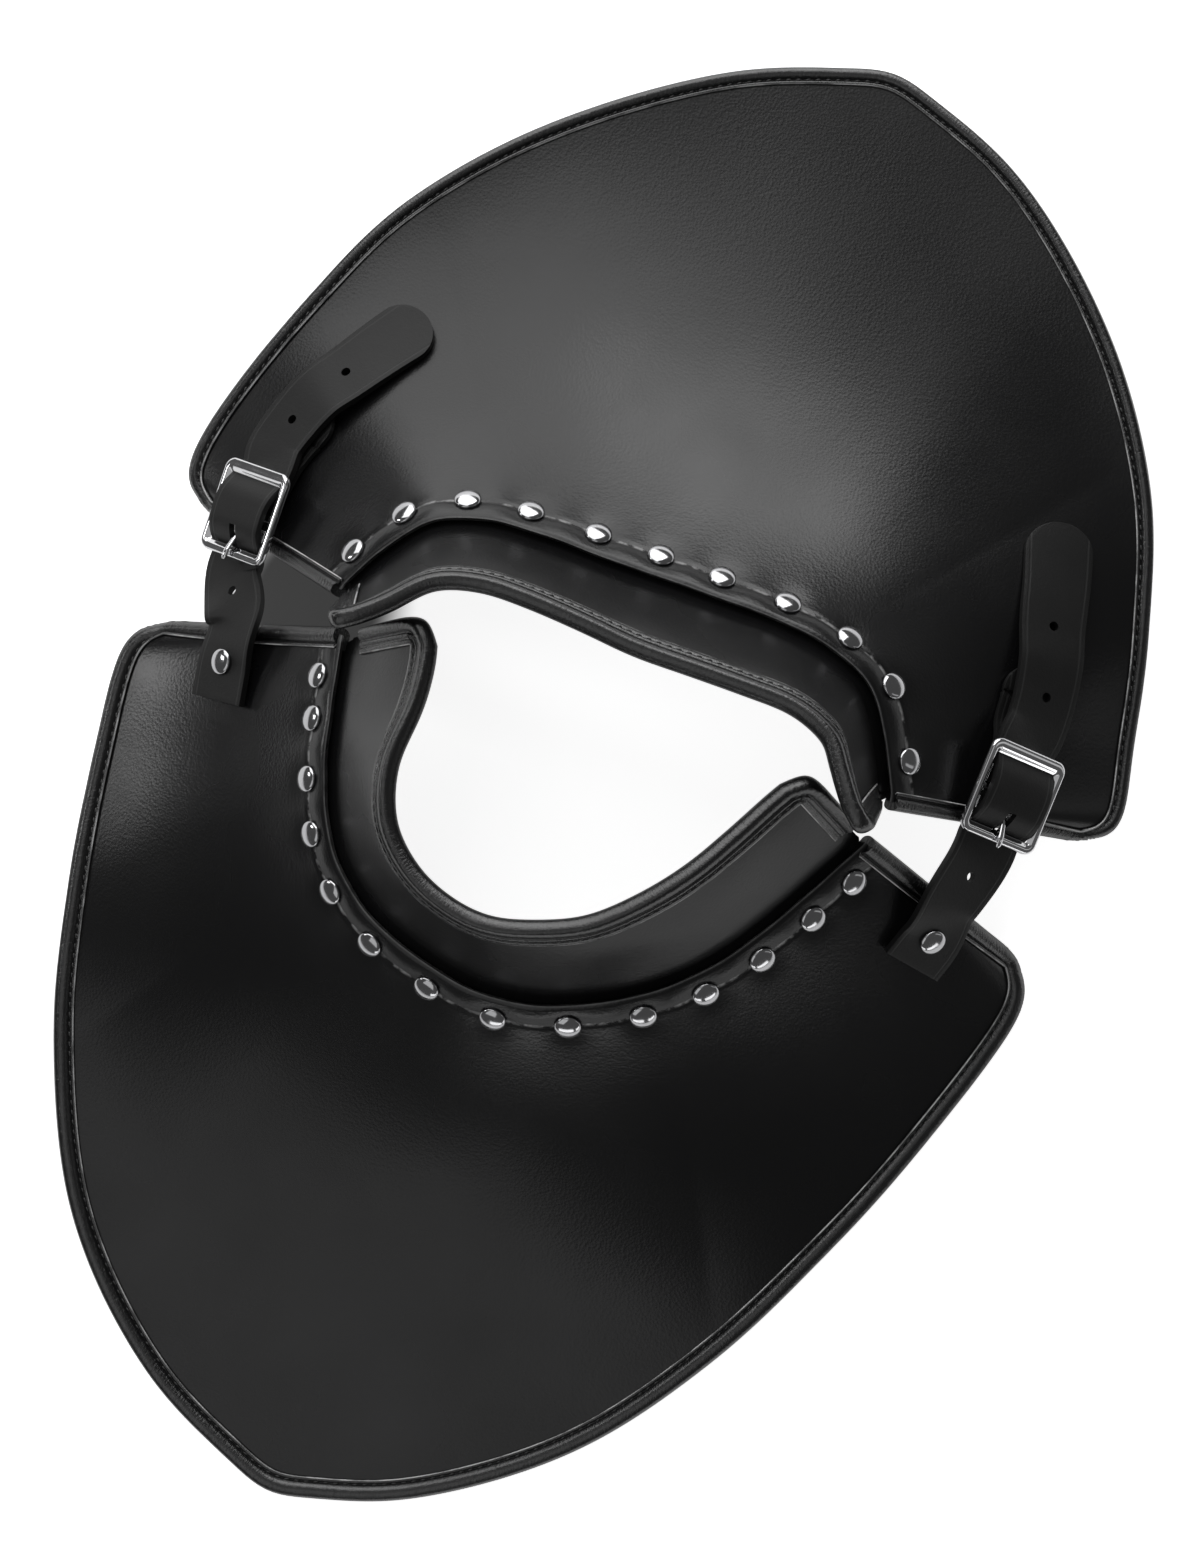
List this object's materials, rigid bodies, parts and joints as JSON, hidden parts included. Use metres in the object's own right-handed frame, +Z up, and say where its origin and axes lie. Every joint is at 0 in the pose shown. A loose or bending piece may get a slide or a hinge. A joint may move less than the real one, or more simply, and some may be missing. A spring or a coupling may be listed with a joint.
{
  "type": "leather gorget",
  "caption": "Black leather gorget: a back and a front plate, each with a riveted stand-up collar and bound edges, joined over the shoulders by buckled straps.",
  "frame": {"origin": "centre of the bounding box in plan, on the surface that the gorget lies on", "axes": "+Z up out of the surface, +Y towards the tip of the back plate, -Y towards the tip of the front plate, +X the shoulder at the picture's right"},
  "size_m": [0.355, 0.5534, 0.1049],
  "materials": {
    "black_leather": "smooth fine-grained black leather, satin",
    "black_binding": "grained black leather binding with a stitch line, satin",
    "black_strap": "matte black strap leather",
    "chrome": "polished chrome"
  },
  "bodies": {
    "root": {"back_plate": "black_leather", "back_collar": "black_leather", "back_plate_binding": "black_binding", "back_collar_binding": "black_binding", "back_rivet_01": "chrome", "back_rivet_02": "chrome", "back_rivet_03": "chrome", "back_rivet_04": "chrome", "back_rivet_05": "chrome", "back_rivet_06": "chrome", "back_rivet_07": "chrome", "back_rivet_08": "chrome", "back_rivet_09": "chrome", "back_rivet_10": "chrome", "back_rivet_11": "chrome", "front_plate": "black_leather", "front_collar": "black_leather", "front_plate_binding": "black_binding", "front_collar_binding": "black_binding", "front_rivet_01": "chrome", "front_rivet_02": "chrome", "front_rivet_03": "chrome", "front_rivet_04": "chrome", "front_rivet_05": "chrome", "front_rivet_06": "chrome", "front_rivet_07": "chrome", "front_rivet_08": "chrome", "front_rivet_09": "chrome", "front_rivet_10": "chrome", "front_rivet_11": "chrome", "front_rivet_12": "chrome", "front_rivet_13": "chrome", "front_rivet_14": "chrome", "strap_left": "black_strap", "buckle_tab_left": "black_strap", "buckle_left": "chrome", "prong_left": "chrome", "strap_rivet_left": "chrome", "tab_rivet_left": "chrome", "strap_right": "black_strap", "buckle_tab_right": "black_strap", "buckle_right": "chrome", "prong_right": "chrome", "strap_rivet_right": "chrome", "tab_rivet_right": "chrome"}
  },
  "joints": []
}
